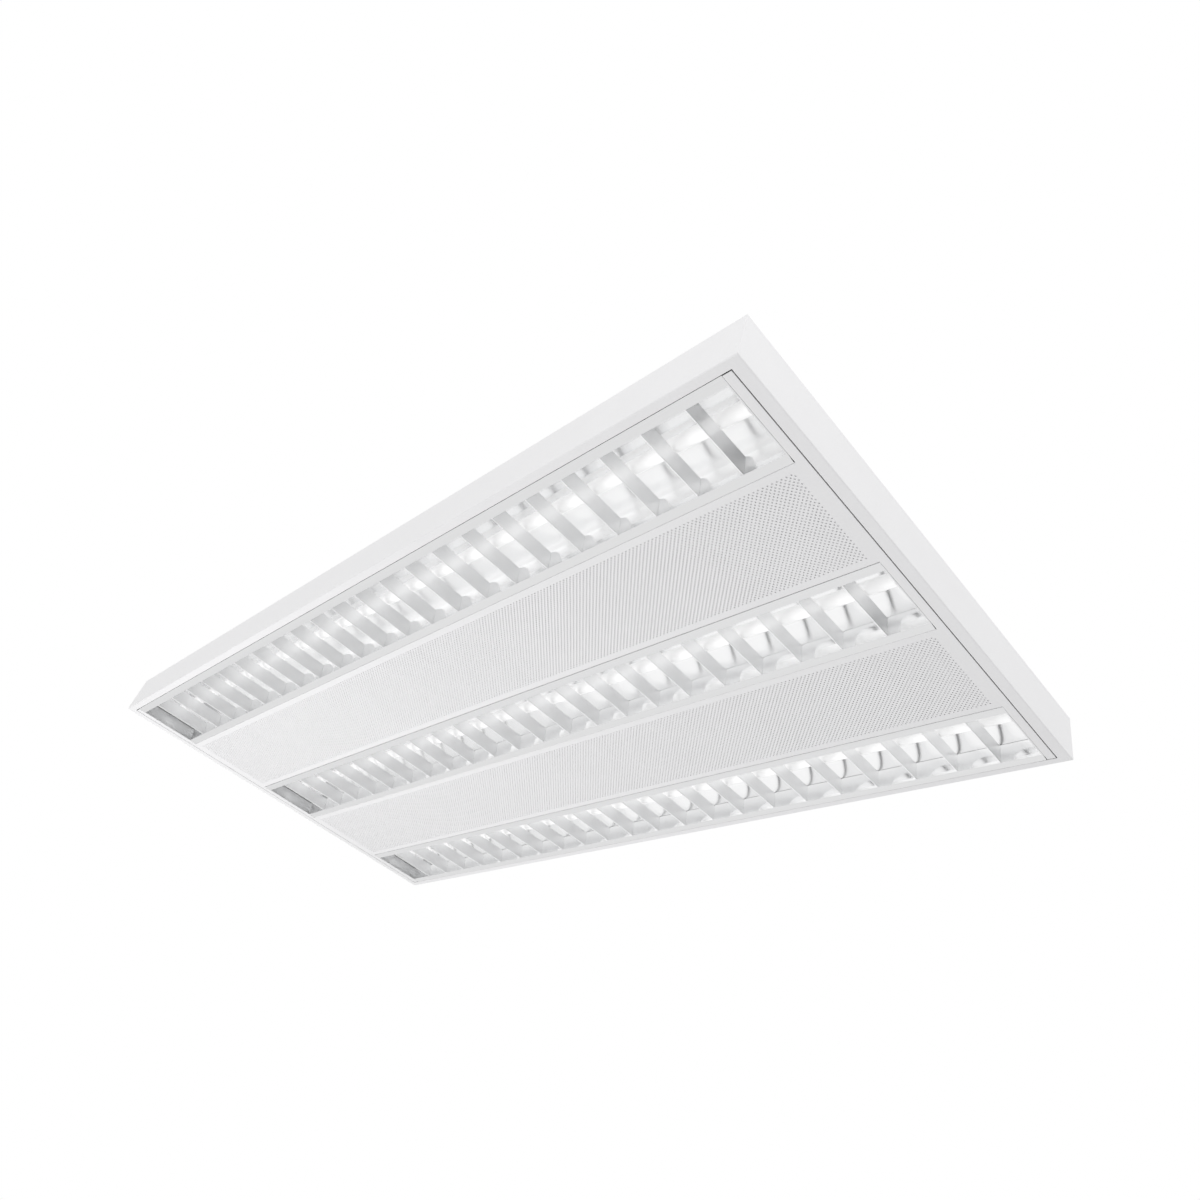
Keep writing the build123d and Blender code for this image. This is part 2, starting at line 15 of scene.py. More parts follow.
import bmesh
import bpy
from mathutils import Matrix, Vector


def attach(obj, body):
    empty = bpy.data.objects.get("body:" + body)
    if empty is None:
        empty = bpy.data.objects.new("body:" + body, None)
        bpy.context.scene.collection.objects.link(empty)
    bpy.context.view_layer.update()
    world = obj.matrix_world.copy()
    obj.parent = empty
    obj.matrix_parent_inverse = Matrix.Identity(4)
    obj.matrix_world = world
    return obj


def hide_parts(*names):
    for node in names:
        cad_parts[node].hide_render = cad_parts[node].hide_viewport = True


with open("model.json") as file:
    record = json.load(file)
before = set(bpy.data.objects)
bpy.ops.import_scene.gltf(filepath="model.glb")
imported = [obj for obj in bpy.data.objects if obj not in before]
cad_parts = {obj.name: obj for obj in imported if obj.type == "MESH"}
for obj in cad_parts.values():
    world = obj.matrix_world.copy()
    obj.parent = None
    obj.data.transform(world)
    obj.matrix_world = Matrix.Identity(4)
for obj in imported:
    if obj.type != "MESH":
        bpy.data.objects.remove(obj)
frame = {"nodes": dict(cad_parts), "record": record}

Pair = tuple[float, float]
Triple = tuple[float, float, float]
Piece = bpy.types.Object
Socket = bpy.types.NodeSocket
Test = Callable[[Vector], bool]

LOG = logging.getLogger("ceiling_light")
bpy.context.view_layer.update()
MM = 0.001
NEAR = 0.02  # places that agree to this are the same
MERGE = NEAR / 4  # corners closer than this become one
ROUND = 48  # facets of a round bar
SIGNS = (-1, 1)
ORIGIN: Triple = (0.0, 0.0, 0.0)
ALONG: Triple = (1.0, 0.0, 0.0)
ACROSS: Triple = (0.0, 1.0, 0.0)
UP: Triple = (0.0, 0.0, 1.0)
DOWN: Triple = (0.0, 0.0, -1.0)
SHEET = bpy.ops.mesh.primitive_plane_add
BLOCK = bpy.ops.mesh.primitive_cube_add


class Element(Enum):
    """Kinds of mesh element that are picked in edit mode."""

    CORNER = "VERT"
    EDGE = "EDGE"
    FACE = "FACE"


class Side(Enum):
    """The two long sides of a channel."""

    FRONT = -1
    REAR = 1


class End(Enum):
    """The two ends of the fixture."""

    LEFT = -1
    RIGHT = 1


# Modelling by hand, in millimetres


def label_of(option: Enum) -> str:
    """Name of an option as names of pieces use it."""
    return option.name.lower()


def metres(values: Sequence[float]) -> tuple[float, ...]:
    """Millimetres as metres."""
    return tuple(value * MM for value in values)


def near(value: float, wanted: float) -> bool:
    """True where two places agree."""
    return abs(value - wanted) < NEAR


def select_only(piece: Piece) -> None:
    """Makes a piece the only selected and the active one.

    Args:
        piece: The piece.
    """
    bpy.ops.object.select_all(action="DESELECT")
    piece.select_set(True)
    bpy.context.view_layer.objects.active = piece


def apply_place() -> None:
    """Puts the place, turn and scale of the selected piece into its mesh."""
    bpy.ops.object.transform_apply(location=True, rotation=True, scale=True)


def start_piece(
    name: str,
    add: Callable[..., set[str]],
    extent: Triple,
    place: Triple,
    turn: Triple = ORIGIN,
    **options: Any,
) -> Piece:
    """Adds a primitive of unit size, and puts its size and place into its mesh.

    Args:
        name: Name of the piece.
        add: Operator that adds the primitive.
        extent: Factors on the unit primitive along its own axes.
        place: Where its middle goes.
        turn: Turn about X, Y and Z in degrees.
        **options: Further settings of the operator.

    Returns:
        The new piece, at the origin.
    """
    bpy.ops.object.select_all(action="DESELECT")
    angles = tuple(math.radians(angle) for angle in turn)
    add(location=metres(place), rotation=angles, **options)
    piece = bpy.context.object
    piece.name = piece.data.name = name
    piece.scale = metres(extent)
    apply_place()
    return piece


def start_between(add: Callable[..., set[str]], name: str, low: Triple, high: Triple) -> Piece:
    """Adds a level sheet or a block between two corners.

    Args:
        add: SHEET or BLOCK.
        name: Name of the piece.
        low: Corner at the low end of each axis.
        high: Opposite corner.

    Returns:
        The new piece, at the origin.
    """
    middle = tuple((a + b) / 2 for a, b in zip(low, high))
    extent = tuple(b - a or 1.0 for a, b in zip(low, high))
    return start_piece(name, add, extent, middle, size=1.0)


def start_bar(name: str, radius: float, low: float, high: float, height: float) -> Piece:
    """Adds a round bar along X at a height over the middle channel."""
    return start_piece(
        name, bpy.ops.mesh.primitive_cylinder_add, (radius, radius, high - low),
        ((low + high) / 2, 0.0, height), (0.0, 90.0, 0.0), vertices=ROUND, radius=1.0, depth=1.0,
    )


@contextmanager
def editing(piece: Piece) -> Iterator[None]:
    """Keeps a piece in edit mode for a while.

    Args:
        piece: The piece.
    """
    select_only(piece)
    bpy.ops.object.mode_set(mode="EDIT")
    yield
    bpy.ops.object.mode_set(mode="OBJECT")


def middle_of(item: Any) -> Vector:
    """Middle of a corner, edge or face, in millimetres."""
    corners = [item] if isinstance(item, bmesh.types.BMVert) else item.verts
    return sum((corner.co for corner in corners), Vector()) / len(corners) / MM


def pick(piece: Piece, element: Element, test: Test) -> None:
    """Selects the elements of a piece in edit mode whose middle passes a test.

    Args:
        piece: The piece in edit mode.
        element: What is selected.
        test: Gets an element's middle in millimetres.
    """
    bpy.ops.mesh.select_mode(type=element.value)
    bpy.ops.mesh.select_all(action="DESELECT")
    mesh = bmesh.from_edit_mesh(piece.data)
    groups = {Element.CORNER: mesh.verts, Element.EDGE: mesh.edges, Element.FACE: mesh.faces}
    for item in groups[element]:
        if test(middle_of(item)):
            item.select_set(True)
    mesh.select_flush_mode()
    bmesh.update_edit_mesh(piece.data)


def pick_all() -> None:
    """Selects everything in edit mode."""
    bpy.ops.mesh.select_all(action="SELECT")


def cut(axis: Triple, place: float) -> None:
    """Divides all faces in edit mode along a plane across an axis."""
    pick_all()
    bpy.ops.mesh.bisect(
        plane_co=metres([part * place for part in axis]), plane_no=axis, threshold=NEAR * MM
    )


def push_edges(move: Triple) -> None:
    """Extrudes the selected edges."""
    bpy.ops.mesh.extrude_edges_move(TRANSFORM_OT_translate={"value": metres(move)})


def push_faces(move: Triple) -> None:
    """Extrudes the selected faces as one."""
    bpy.ops.mesh.extrude_region_move(TRANSFORM_OT_translate={"value": metres(move)})


def shift(move: Triple) -> None:
    """Moves what is selected."""
    bpy.ops.transform.translate(value=metres(move))


def stretch(factors: Triple, about: Triple) -> None:
    """Scales what is selected about a place."""
    bpy.ops.transform.resize(value=factors, center_override=metres(about))


def spin(steps: int, angle: float, centre: Triple, axis: Triple) -> None:
    """Draws the selected edges round an axis."""
    bpy.ops.mesh.spin(steps=steps, angle=angle, center=metres(centre), axis=axis)


def round_off(radius: float, segments: int) -> None:
    """Rounds the selected edges."""
    bpy.ops.mesh.bevel(offset=radius * MM, segments=segments, affect="EDGES")


def finish_with(piece: Piece, kind: str, **settings: Any) -> None:
    """Adds a modifier to a piece and applies it.

    Args:
        piece: The piece.
        kind: Blender's name of the modifier type.
        **settings: Settings of the modifier.
    """
    select_only(piece)
    modifier = piece.modifiers.new(kind.lower(), kind)
    for name, value in settings.items():
        setattr(modifier, name, value)
    bpy.ops.object.modifier_apply(modifier=modifier.name)


def repeat(piece: Piece, count: int, step: Triple) -> None:
    """Repeats a piece in a row and joins the repeats where they meet."""
    finish_with(
        piece, "ARRAY", count=count, use_relative_offset=False, use_constant_offset=True,
        constant_offset_displace=metres(step), use_merge_vertices=True, merge_threshold=MERGE * MM,
    )


def thicken(piece: Piece, wall: float) -> None:
    """Gives a sheet its thickness, behind the side that its faces point to."""
    finish_with(piece, "SOLIDIFY", thickness=wall * MM, offset=-1.0, use_even_offset=True)


def face_towards(piece: Piece, direction: Triple) -> None:
    """Turns all faces of an open sheet to one side.

    Args:
        piece: The sheet.
        direction: Where its faces point on the whole.
    """
    with editing(piece):
        pick_all()
        bpy.ops.mesh.remove_doubles(threshold=MERGE * MM)
        pick_all()
        bpy.ops.mesh.normals_make_consistent(inside=False)
        faces = bmesh.from_edit_mesh(piece.data).faces
        if sum(face.normal.dot(Vector(direction)) * face.calc_area() for face in faces) < 0:
            bpy.ops.mesh.flip_normals()


def smooth(piece: Piece, angle: float = 30.0) -> None:
    """Shades a piece smoothly, apart from its corners."""
    select_only(piece)
    bpy.ops.object.shade_smooth_by_angle(angle=math.radians(angle))


def copy_piece(
    piece: Piece,
    name: str,
    move: Triple = ORIGIN,
    factors: Triple = (1.0, 1.0, 1.0),
    turn: float = 0.0,
) -> Piece:
    """Copies a piece with its own mesh.

    Args:
        piece: The piece.
        name: Name of the copy.
        move: How far the copy is moved.
        factors: Factors on its size along X, Y and Z.
        turn: Its turn about Z in degrees.

    Returns:
        The copy, at the origin.
    """
    select_only(piece)
    bpy.ops.object.duplicate(linked=False)
    copy = bpy.context.object
    copy.name = copy.data.name = name
    copy.location = metres(move)
    copy.scale = factors
    copy.rotation_euler.z = math.radians(turn)
    apply_place()
    return copy


def turned_over(piece: Piece, name: str, axis: Triple) -> Piece:
    """Copies a piece to its mirror image across the origin.

    Args:
        piece: The piece.
        name: Name of the copy.
        axis: Axis along which it is mirrored.

    Returns:
        The copy, with its faces outwards.
    """
    copy = copy_piece(piece, name, factors=tuple(1.0 - 2.0 * part for part in axis))
    with editing(copy):
        pick_all()
        bpy.ops.mesh.flip_normals()
    return copy


def join(first: Piece, *others: Piece) -> Piece:
    """Joins pieces.

    Args:
        first: The piece that gets the others.
        *others: The others.

    Returns:
        The first piece.
    """
    select_only(first)
    for other in others:
        other.select_set(True)
    bpy.ops.object.join()
    return first


def discard(*pieces: Piece) -> None:
    """Deletes pieces that only served as patterns or tools."""
    for piece in pieces:
        bpy.data.objects.remove(piece)


def hand_over(
    pattern: Piece, name: str, move: Triple, body: str, slot: str, finish: str, *nodes: str
) -> None:
    """Copies a modelled piece to its place, dresses it, hangs it on its body and hides the CAD
    nodes that it replaces.

    Args:
        pattern: The modelled piece.
        name: Name of the finished piece.
        move: How far it is moved.
        body: Body that it rides on.
        slot: Material slot of the record. Not used.
        finish: Name of its finish.
        *nodes: CAD nodes that it replaces.
    """
    piece = copy_piece(pattern, name, move)
    piece.data.materials.clear()
    piece.data.materials.append(FINISHES[finish].material())
    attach(piece, body)
    if nodes:
        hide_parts(*nodes)
    LOG.info("%s: %d faces, on %s", piece.name, len(piece.data.polygons), body)


# Finishes

NOISE_RANGE = (0.3, 0.7)  # usual range of a noise texture
PLAIN_WHITE = (1.0, 1.0, 1.0, 1.0)


class Sockets(Enum):
    """Socket types of a node group."""

    NUMBER = "NodeSocketFloat"
    VECTOR = "NodeSocketVector"


class Wiring:
    """Adds and links the nodes of one node tree."""

    def __init__(self, tree: bpy.types.NodeTree, empty: bool = True) -> None:
        """Takes a node tree over.

        Args:
            tree: The node tree.
            empty: Whether its nodes are deleted first.
        """
        self.tree = tree
        if empty:
            tree.nodes.clear()

    def find(self, kind: str) -> bpy.types.Node:
        """Finds the first node of a type."""
        return next(node for node in self.tree.nodes if node.bl_idname == kind)

    def feed(self, socket: Socket, value: Any) -> None:
        """Sets or links one input.

        Args:
            socket: The input.
            value: A value, or the output that is linked to it.
        """
        if isinstance(value, Socket):
            self.tree.links.new(value, socket)
        else:
            socket.default_value = value

    def add(
        self, kind: str, settings: dict[str, Any] | None = None, **inputs: Any
    ) -> bpy.types.Node:
        """Adds a node.

        Args:
            kind: Blender's name of the node type.
            settings: Properties of the node.
            **inputs: Values or outputs for its inputs, with _ for a space.

        Returns:
            The new node.
        """
        node = self.tree.nodes.new(kind)
        for name, value in (settings or {}).items():
            setattr(node, name, value)
        for name, value in inputs.items():
            label = name.replace("_", " ")
            self.feed(next(s for s in node.inputs if s.name == label and s.enabled), value)
        return node

    def math(self, operation: str, *values: Any) -> Socket:
        """Adds a sum of two values.

        Args:
            operation: Blender's name of the sum.
            *values: Two values or outputs.

        Returns:
            The output with the result.
        """
        node = self.add("ShaderNodeMath", {"operation": operation})
        for socket, value in zip(node.inputs, values):
            self.feed(socket, value)
        return node.outputs[0]

    def spread(self, value: Socket, low: float, high: float) -> Socket:
        """Maps the usual range of a noise to two values."""
        least, most = NOISE_RANGE
        return self.add(
            "ShaderNodeMapRange", Value=value,
            From_Min=least, From_Max=most, To_Min=low, To_Max=high,
        ).outputs["Result"]

    def swap_shader(
        self, output: bpy.types.Node, usual: Socket, other: Socket, *kinds: str
    ) -> None:
        """Shows one shader at the output, and another one to some kinds of rays.

        Args:
            output: Output node of the tree.
            usual: Usual shader.
            other: The other shader.
            *kinds: Blender's names of the kinds of rays that meet the other one.
        """
        path = self.add("ShaderNodeLightPath").outputs
        switch = path[f"Is {kinds[0]} Ray"]
        for kind in kinds[1:]:
            switch = self.math("MAXIMUM", switch, path[f"Is {kind} Ray"])
        mix = self.add("ShaderNodeMixShader")
        for socket, source in zip(mix.inputs, (switch, usual, other)):
            self.feed(socket, source)
        self.feed(output.inputs["Surface"], mix.outputs[0])


def surface_grain() -> bpy.types.NodeTree:
    """Grain that all finishes share: fine relief, mottling in patches, and both mixed.

    Returns:
        The group. Vector is the place, Grain and Patch are sizes in metres.
    """
    name = "surface_grain"
    if name in bpy.data.node_groups:
        return bpy.data.node_groups[name]
    group = bpy.data.node_groups.new(name, "ShaderNodeTree")
    number, vector = Sockets.NUMBER, Sockets.VECTOR
    sockets = {
        "INPUT": {"Vector": vector, "Grain": number, "Patch": number},
        "OUTPUT": {"Relief": number, "Mottle": number, "Blend": number},
    }
    for way, labels in sockets.items():
        for label, kind in labels.items():
            group.interface.new_socket(name=label, in_out=way, socket_type=kind.value)
    wiring = Wiring(group)
    source = wiring.add("NodeGroupInput").outputs
    fine, coarse = (
        wiring.add(
            "ShaderNodeTexNoise", Vector=source["Vector"], Detail=detail, Roughness=rough,
            Scale=wiring.math("DIVIDE", 1.0, source[size]),
        ).outputs["Fac"]
        for size, detail, rough in (("Grain", 2.0, 0.45), ("Patch", 3.0, 0.55))
    )
    both = wiring.math("MULTIPLY", wiring.math("ADD", fine, coarse), 0.5)
    wiring.add("NodeGroupOutput", Relief=fine, Mottle=coarse, Blend=both)
    return group


@dataclass(frozen=True)
class Finish:
    """A surface finish with its own grain."""

    name: str
    colour: Triple  # mean colour, linear
    contrast: float = 0.02  # share by which the colour varies
    rough: Pair = (0.35, 0.45)  # lowest and highest roughness
    metallic: float = 0.0  # 1 for bare metal
    coat: float = 0.0  # weight of a clear layer
    grain: float = 1.2  # size of the fine relief
    depth: float = 0.004  # depth of the fine relief
    patch: float = 40.0  # size of the mottled patches
    drawn: Triple = (1.0, 1.0, 1.0)  # how much longer the grain is along X, Y and Z
    glow: float = 0.0  # strength of its own light

    def label(self) -> str:
        """Name of the material, apart from those that came with the CAD part."""
        return f"{self.name}_finish"

    def material(self) -> bpy.types.Material:
        """Returns the material of this finish, made at its first use."""
        return bpy.data.materials.get(self.label()) or self.make()

    def make(self) -> bpy.types.Material:
        """Makes the material.

        Returns:
            The new material.
        """
        material = bpy.data.materials.new(self.label())
        material.use_nodes = True
        wiring = Wiring(material.node_tree)
        shader = wiring.add(
            "ShaderNodeBsdfPrincipled", Metallic=self.metallic, Coat_Weight=self.coat,
            Emission_Strength=self.glow,
        )
        wiring.add("ShaderNodeOutputMaterial", Surface=shader.outputs["BSDF"])
        self.dress(wiring, shader)
        return material

    def dress(self, wiring: Wiring, shader: bpy.types.Node) -> None:
        """Feeds colour, roughness and relief into the shader.

        Args:
            wiring: Wiring of the material.
            shader: Its shader.
        """
        place = wiring.add("ShaderNodeTexCoord").outputs["Object"]
        shrink = tuple(1 / factor for factor in self.drawn)
        grain = wiring.add(
            "ShaderNodeGroup", {"node_tree": surface_grain()},
            Vector=wiring.add("ShaderNodeMapping", Vector=place, Scale=shrink).outputs["Vector"],
            Grain=self.grain * MM, Patch=self.patch * MM,
        ).outputs
        dark, light = (
            (*(min(1.0, value * (1 + sign * self.contrast)) for value in self.colour), 1.0)
            for sign in SIGNS
        )
        tint = wiring.spread(grain["Blend"], 0.0, 1.0)
        mix = wiring.add("ShaderNodeMix", {"data_type": "RGBA"}, Factor=tint, A=dark, B=light)
        colour = next(s for s in mix.outputs if s.enabled)
        inputs = shader.inputs
        wiring.feed(inputs["Base Color"], colour)
        if self.glow:
            wiring.feed(inputs["Emission Color"], colour)
        wiring.feed(inputs["Roughness"], wiring.spread(grain["Mottle"], *self.rough))
        bump = wiring.add(
            "ShaderNodeBump", Height=grain["Relief"], Strength=1.0, Distance=self.depth * MM
        )
        wiring.feed(inputs["Normal"], bump.outputs["Normal"])


WHITE = (0.855, 0.852, 0.861)
MIRROR = (0.95, 0.952, 0.955)
ROLLED = (60.0, 1.0, 1.0)
FINISH_LIST = [
    Finish("housing_paint", WHITE, rough=(0.34, 0.42), grain=1.6, depth=0.006),
    Finish("panel_paint", WHITE, rough=(0.38, 0.46), grain=1.6, depth=0.004),
    Finish(
        "galvanised_sheet", (0.58, 0.60, 0.62), 0.18, (0.28, 0.5), 1.0,
        grain=3.0, depth=0.002, patch=9.0,
    ),
    Finish(
        "mirror_aluminium", MIRROR, 0.01, (0.1, 0.15), 1.0,
        grain=0.8, depth=0.0001, patch=30.0, drawn=ROLLED,
    ),
    Finish(
        "trough_aluminium", MIRROR, 0.01, (0.16, 0.2), 1.0,
        grain=0.8, depth=0.0001, patch=30.0, drawn=ROLLED,
    ),
    Finish(
        "blade_aluminium", (0.935, 0.937, 0.94), 0.02, (0.28, 0.34), 1.0,
        grain=0.5, depth=0.0003, patch=12.0, drawn=(1.0, 40.0, 1.0),
    ),
    Finish(
        "frame_aluminium", (0.92, 0.921, 0.925), 0.02, (0.5, 0.58), 1.0,
        grain=0.5, depth=0.0003, patch=30.0, drawn=(40.0, 1.0, 1.0),
    ),
    # Painted shade: the end plates are the blades' aluminium, given a darker colour that stands in
    # for the shade they show.
    Finish(
        "end_plate_aluminium", (0.76, 0.763, 0.768), 0.05, (0.34, 0.42), 1.0,
        grain=0.5, depth=0.0003, patch=20.0, drawn=(1.0, 40.0, 1.0),
    ),
    Finish(
        "tube_glass", (0.9, 0.9, 0.9), 0.01, (0.12, 0.18), coat=0.6,
        grain=6.0, depth=0.0005, patch=60.0, glow=0.4,
    ),
    Finish(
        "cap_aluminium", (0.7, 0.7, 0.71), 0.05, (0.25, 0.4), 1.0,
        grain=0.4, depth=0.001, drawn=(1.0, 12.0, 12.0),
    ),
    Finish("contact_brass", (0.72, 0.55, 0.27), 0.08, (0.2, 0.35), 1.0, grain=0.5, depth=0.001),
    Finish("holder_plastic", (0.8, 0.8, 0.77), 0.01, (0.25, 0.35), grain=0.6, depth=0.002),
    Finish("rotor_plastic", (0.7, 0.7, 0.67), 0.02, (0.25, 0.35), grain=0.6, depth=0.002),
    Finish("pin_steel", (0.6, 0.6, 0.62), 0.06, (0.2, 0.35), 1.0, grain=0.4, depth=0.001),
    Finish(
        "spring_steel", (0.5, 0.5, 0.53), 0.06, (0.22, 0.38), 1.0,
        grain=0.4, depth=0.001, drawn=(8.0, 1.0, 1.0),
    ),
    Finish("ballast_plastic", (0.72, 0.72, 0.7), 0.03, (0.4, 0.55), grain=0.9, depth=0.008),
    Finish("terminal_plastic", (0.3, 0.31, 0.33), 0.06, (0.4, 0.55), grain=0.7, depth=0.006),
    Finish("block_plastic", (0.74, 0.74, 0.71), 0.03, (0.4, 0.55), grain=0.7, depth=0.006),
    Finish("screw_steel", (0.66, 0.66, 0.66), 0.08, (0.2, 0.4), 1.0, grain=0.4, depth=0.002),
    Finish("grommet_rubber", (0.02, 0.02, 0.02), 0.3, (0.55, 0.75), grain=0.5, depth=0.01),
    Finish("wire_sheath", (0.72, 0.72, 0.71), 0.04, (0.35, 0.5), grain=0.8, depth=0.004),
    Finish("clip_plastic", (0.68, 0.68, 0.66), 0.03, (0.35, 0.5), grain=0.6, depth=0.005),
]
FINISHES = {finish.name: finish for finish in FINISH_LIST}


# Sections and shared sizes


@dataclass(frozen=True)
class Dish:
    """A dished face in a section, given by points sideways and up.

    Its centre lies to the right of the way from start to end.
    """

    start: Pair
    end: Pair
    bulge: float  # depth of the dish

    def circle(self) -> Triple:
        """Works out the circle of the dish.

        Returns:
            Its centre, sideways and up, and its radius.
        """
        run, rise = self.end[0] - self.start[0], self.end[1] - self.start[1]
        chord = math.hypot(run, rise)
        radius = chord**2 / (8 * self.bulge) + self.bulge / 2
        reach = (radius - self.bulge) / chord
        middle = [(a + b) / 2 for a, b in zip(self.start, self.end)]
        return middle[0] + reach * rise, middle[1] - reach * run, radius

    def sweep(self) -> float:
        """Works out the turn from start to end.

        Returns:
            The angle that the spin operator needs, in radians.
        """
        across, up, _ = self.circle()
        first = math.atan2(self.start[1] - up, self.start[0] - across)
        last = math.atan2(self.end[1] - up, self.end[0] - across)
        return math.remainder(first - last, math.tau)

    def place(self, height: float, spare: float = 0.0) -> float:
        """Sideways place of the face at a height, moved towards its centre by a spare distance."""
        across, up, radius = self.circle()
        return across - math.sqrt((radius - spare) ** 2 - (height - up) ** 2)


@dataclass(frozen=True)
class Layout:
    """Places that several sub-assemblies share."""

    bottom: float = -55.0  # height of the lower face of the inner field
    channel_pitch: float = 241.5  # distance between neighbouring channels
    channel_half: float = 41.0  # half the width of a channel's mouth
    aperture_half: float = 577.0  # half the length of the inner field between the end strips
    lamp_height: float = -25.0  # height of the tubes' axes

    def channels(self) -> list[tuple[int, Triple]]:
        """Number of each channel and how far it lies from the middle one, from front to rear."""
        return [(number, (0.0, (number - 2) * self.channel_pitch, 0.0)) for number in (1, 2, 3)]


# Sub-assemblies


@dataclass
class PerforatedPanels:
    """The two perforated panels between the channels."""

    layout: Layout
    half_width: float = 68.25  # half the width of a panel
    sheet: float = 1.0  # sheet thickness
    upturn: float = 10.0  # height of the upturned long edges
    bend: float = 0.7  # outer radius at the foot of the upturned edges
    pitch: float = 5.0  # distance of two holes of one row
    row_pitch: float = 5.2  # distance of rows that line up; a staggered row lies half-way
    hole: float = 1.05  # radius of a hole
    hole_depth: float = 2.4  # depth to which a hole shows
    hole_sides: int = 6  # the cells fit together only with six
    columns: int = 114  # holes in one row of half a panel
    row_pairs: int = 23  # pairs of staggered rows

    def field_end(self) -> float:
        """Half the length of the perforated field."""
        return self.columns * self.pitch + self.pitch / 4

    def field_side(self) -> float:
        """Half the width of the perforated field."""
        return self.row_pairs * self.row_pitch / 2

    def cell(self) -> Piece:
        """Models one hole with the sheet round it.

        Returns:
            The cell, about the origin.
        """
        bottom, radius = self.layout.bottom, self.hole
        cell = start_piece(
            "cell", bpy.ops.mesh.primitive_circle_add, (radius, radius, 1.0),
            (0.0, 0.0, bottom + self.hole_depth),
            vertices=self.hole_sides, radius=1.0, fill_type="NGON",
        )
        half, row = self.pitch / 2, self.row_pitch / 2
        flat = radius * math.cos(math.pi / self.hole_sides)
        with editing(cell):
            pick(cell, Element.EDGE, lambda p: True)
            push_edges((0.0, 0.0, -self.hole_depth))
            push_edges(ORIGIN)
            stretch((half / flat, row / radius, 1.0), (0.0, 0.0, bottom))
            for sign in SIGNS:
                pick(cell, Element.CORNER, lambda p: near(p.y, sign * row))
                shift((0.0, -sign * row / 2, 0.0))
        face_towards(cell, DOWN)
        return cell

    def field(self) -> Piece:
        """Models the perforated sheet of the right half.

        Returns:
            The sheet, about the middle of a panel.
        """
        field = self.cell()
        half, row = self.pitch / 2, self.row_pitch / 2
        repeat(field, self.columns, (self.pitch, 0.0, 0.0))
        repeat(field, 2, (half, row, 0.0))
        repeat(field, self.row_pairs, (0.0, self.row_pitch, 0.0))
        with editing(field):
            pick_all()
            shift((half / 2, row / 2 - self.field_side(), 0.0))
        return field

    def filler(self) -> Piece:
        """Models the plain squares that fill every second row at the right end of the field.

        Returns:
            The squares, about the middle of a panel.
        """
        bottom, half, row = self.layout.bottom, self.pitch / 2, self.row_pitch / 2
        end, side = self.field_end(), self.field_side()
        low, high = (end - half, -side, bottom), (end, row - side, bottom)
        filler = start_between(SHEET, "filler", low, high)
        repeat(filler, self.row_pairs, (0.0, self.row_pitch, 0.0))
        face_towards(filler, DOWN)
        return filler

    def border(self) -> Piece:
        """Models the plain border with its upturned edges.

        Returns:
            The border, about the middle of a panel.
        """
        bottom, top = self.layout.bottom, self.layout.bottom + self.sheet
        reach, side = self.layout.aperture_half, self.half_width
        field_end, field_side = self.field_end(), self.field_side()
        border = start_between(SHEET, "border", (-reach, -side, bottom), (reach, side, bottom))
        with editing(border):
            for sign in SIGNS:
                cut(ALONG, sign * field_end)
                cut(ACROSS, sign * field_side)
            pick(border, Element.FACE, lambda p: abs(p.x) < field_end and abs(p.y) < field_side)
            bpy.ops.mesh.delete(type="FACE")
            pick(border, Element.EDGE, lambda p: near(abs(p.x), reach) or near(abs(p.y), side))
            push_edges((0.0, 0.0, self.sheet))
            bpy.ops.mesh.edge_face_add()
            for sign in SIGNS:
                cut(ACROSS, sign * (side - self.sheet))
            edge = side - self.sheet
            pick(border, Element.FACE, lambda p: near(p.z, top) and abs(p.y) > edge)
            push_faces((0.0, 0.0, self.upturn - self.sheet))
            pick(border, Element.EDGE, lambda p: near(p.z, bottom) and near(abs(p.y), side))
            round_off(self.bend, 3)
        face_towards(border, UP)
        smooth(border)
        return border

    def build(self) -> None:
        """Models one panel, copies it to both places and dresses it."""
        right = join(self.field(), self.filler())
        left = copy_piece(right, "left", turn=180.0)
        parts = {"border": self.border(), "field_right": right, "field_left": left}
        paint = "panel_paint"
        for side in Side:
            panel = f"perforated_panel_{label_of(side)}"
            move = (0.0, side.value * self.layout.channel_pitch / 2, 0.0)
            for part, pattern in parts.items():
                hand_over(pattern, f"{panel}_{part}", move, "housing", paint, paint, panel)
        discard(*parts.values())


